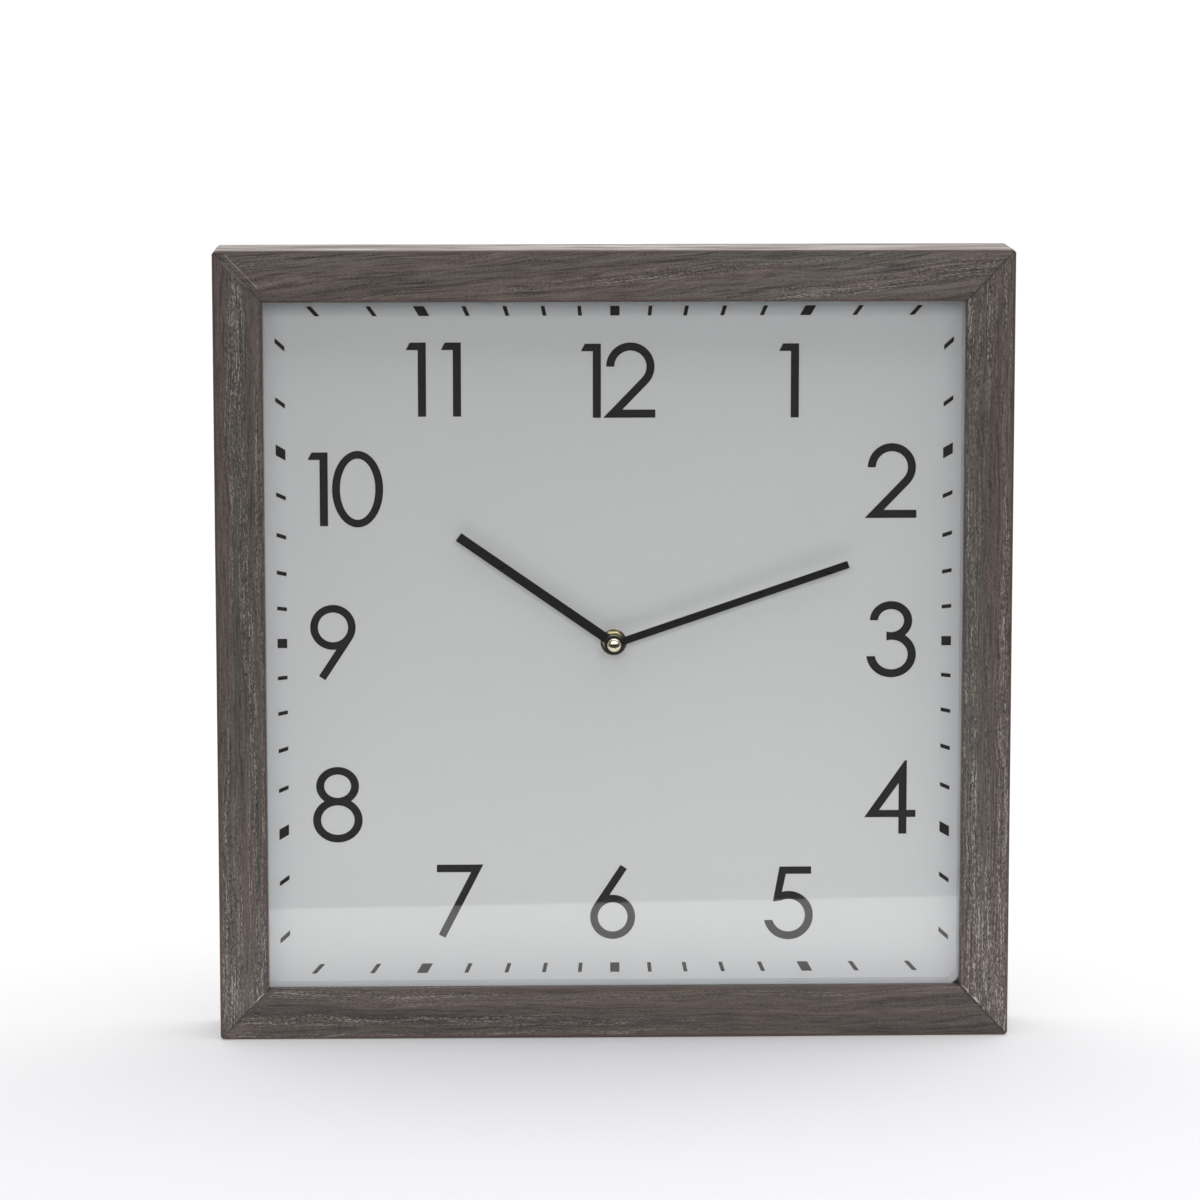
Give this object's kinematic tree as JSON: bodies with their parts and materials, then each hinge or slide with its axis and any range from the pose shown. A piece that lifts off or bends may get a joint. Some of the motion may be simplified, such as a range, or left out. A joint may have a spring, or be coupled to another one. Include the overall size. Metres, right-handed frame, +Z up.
{
  "type": "wall clock",
  "caption": "Square quartz wall clock in a deep mitred grey-brown wood frame, with glass, a pale square dial, black numerals and two straight black hands.",
  "frame": {"origin": "under the middle of the clock's box, on the surface that the clock stands on", "axes": "+X to the right of a person reading the clock, +Y towards the wall, +Z up; the dial faces -Y"},
  "size_m": [0.4, 0.048, 0.4],
  "materials": {
    "grey_washed_wood": "grey-brown wash, matt, slightly worn",
    "window_glass": "clear, polished",
    "grey_liner": "light grey, matt",
    "printed_paper": "smooth silvery white",
    "dial_ink": "printed black",
    "hardboard": "brown hardboard",
    "zinc_steel": "zinc plated",
    "turned_brass": "polished brass",
    "black_hand": "black lacquer",
    "black_rubber": "matt",
    "black_case": "fine texture",
    "white_gear": "moulded",
    "magnet": "sintered",
    "soft_iron": "rolled",
    "copper_wire": "enamelled copper",
    "bobbin_plastic": "natural",
    "board_laminate": "brown laminate",
    "chip_resin": "cast resin",
    "bright_can": "drawn metal",
    "battery_jacket": "plain printed foil",
    "contact_strip": "nickel plated"
  },
  "bodies": {
    "case": {"frame_rail_top": "grey_washed_wood", "frame_stile_right": "grey_washed_wood", "frame_rail_bottom": "grey_washed_wood", "frame_stile_left": "grey_washed_wood", "corner_v_nails": "zinc_steel", "retaining_tabs": "zinc_steel", "sawtooth_hanger": "zinc_steel", "hanger_nails": "zinc_steel", "glass_pane": "window_glass", "dial_sheet": "printed_paper", "dial_board": "hardboard", "spacer_strip_top": "grey_liner", "spacer_strip_right": "grey_liner", "spacer_strip_bottom": "grey_liner", "spacer_strip_left": "grey_liner", "numerals_print": "dial_ink", "minute_track_print": "dial_ink", "movement_case": "black_case", "movement_cover": "black_case", "middle_plate": "black_case", "threaded_bushing": "turned_brass", "rubber_washer": "black_rubber", "brass_washer": "turned_brass", "hex_nut": "turned_brass", "coil_core": "soft_iron", "stator": "soft_iron", "coil_bobbin": "bobbin_plastic", "coil_winding": "copper_wire", "coil_screws": "zinc_steel", "circuit_board": "board_laminate", "chip_blob": "chip_resin", "quartz_crystal": "bright_can", "battery": "battery_jacket", "battery_contact_minus": "contact_strip", "battery_contact_plus": "contact_strip"},
    "minute_hand": {"minute_hand": "black_hand", "minute_arbor": "turned_brass", "clutch_spring": "contact_strip", "cap_nut": "turned_brass"},
    "hour_hand": {"hour_hand": "black_hand", "hour_wheel": "white_gear"},
    "minute_wheel": {"minute_wheel": "white_gear"},
    "setting_knob": {"setting_knob": "white_gear"},
    "centre_wheel": {"centre_wheel": "white_gear"},
    "third_wheel": {"third_wheel": "white_gear"},
    "seconds_wheel": {"seconds_wheel": "white_gear"},
    "fifth_wheel": {"fifth_wheel": "white_gear"},
    "rotor": {"rotor_shaft": "white_gear", "rotor_magnet": "magnet"}
  },
  "joints": [
    {"name": "minute_hand_turn", "type": "hinge", "parent": "case", "child": "minute_hand", "pos_m": [0, 0, 0.2], "axis": [0, 1, 0], "continuous": true},
    {"name": "hour_hand_turn", "type": "hinge", "parent": "case", "child": "hour_hand", "pos_m": [0, 0, 0.2], "axis": [0, 1, 0], "continuous": true},
    {"name": "minute_wheel_turn", "type": "hinge", "parent": "case", "child": "minute_wheel", "pos_m": [0.00945, 0, 0.19833], "axis": [0, 1, 0], "continuous": true},
    {"name": "setting_knob_turn", "type": "hinge", "parent": "case", "child": "setting_knob", "pos_m": [0.01848, 0, 0.20162], "axis": [0, 1, 0], "continuous": true},
    {"name": "rotor_turn", "type": "hinge", "parent": "case", "child": "rotor", "pos_m": [0.00488, 0, 0.21223], "axis": [0, 1, 0], "continuous": true},
    {"name": "fifth_wheel_turn", "type": "hinge", "parent": "case", "child": "fifth_wheel", "pos_m": [0.00188, 0, 0.20703], "axis": [0, 1, 0], "continuous": true},
    {"name": "seconds_wheel_turn", "type": "hinge", "parent": "case", "child": "seconds_wheel", "pos_m": [0, 0, 0.2], "axis": [0, 1, 0], "continuous": true},
    {"name": "third_wheel_turn", "type": "hinge", "parent": "case", "child": "third_wheel", "pos_m": [-0.00883, 0, 0.2051], "axis": [0, 1, 0], "continuous": true},
    {"name": "centre_wheel_turn", "type": "hinge", "parent": "case", "child": "centre_wheel", "pos_m": [0, 0, 0.2], "axis": [0, 1, 0], "continuous": true}
  ],
  "couplings": [
    {"joint": "hour_hand_turn", "follows": "minute_hand_turn", "ratio": 0.083333},
    {"joint": "minute_wheel_turn", "follows": "minute_hand_turn", "ratio": -0.33333},
    {"joint": "setting_knob_turn", "follows": "minute_hand_turn", "ratio": 1},
    {"joint": "fifth_wheel_turn", "follows": "rotor_turn", "ratio": -0.2},
    {"joint": "seconds_wheel_turn", "follows": "rotor_turn", "ratio": 0.033333},
    {"joint": "third_wheel_turn", "follows": "rotor_turn", "ratio": -0.0044444},
    {"joint": "centre_wheel_turn", "follows": "rotor_turn", "ratio": 0.00055556}
  ]
}
